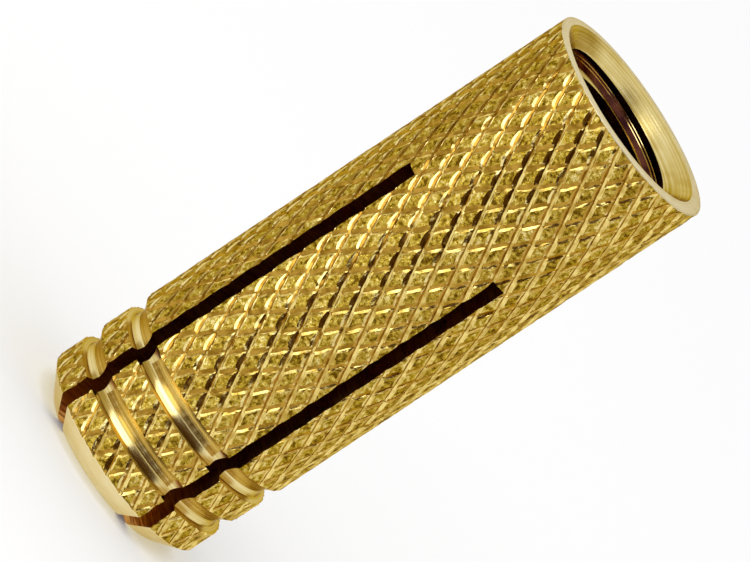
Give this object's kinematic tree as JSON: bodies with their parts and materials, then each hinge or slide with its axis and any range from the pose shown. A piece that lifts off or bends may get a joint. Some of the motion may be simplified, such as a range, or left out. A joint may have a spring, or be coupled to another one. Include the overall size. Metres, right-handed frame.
{
  "type": "brass expansion anchor",
  "caption": "Knurled brass sleeve with an internal screw thread at its mouth and sawn jaws at its tip, which a screw spreads in a drilled hole.",
  "frame": {"origin": "middle of the tip face, where the anchor stands on its jaws", "axes": "+Z along the sleeve to the threaded mouth; -Y is the front, which faces the camera"},
  "size_m": [0.008, 0.008, 0.022],
  "materials": {
    "brass": "rolled diamond knurl, turned grooves, chamfer and rim"
  },
  "bodies": {
    "root": {"anchor_body": "brass"}
  },
  "joints": []
}
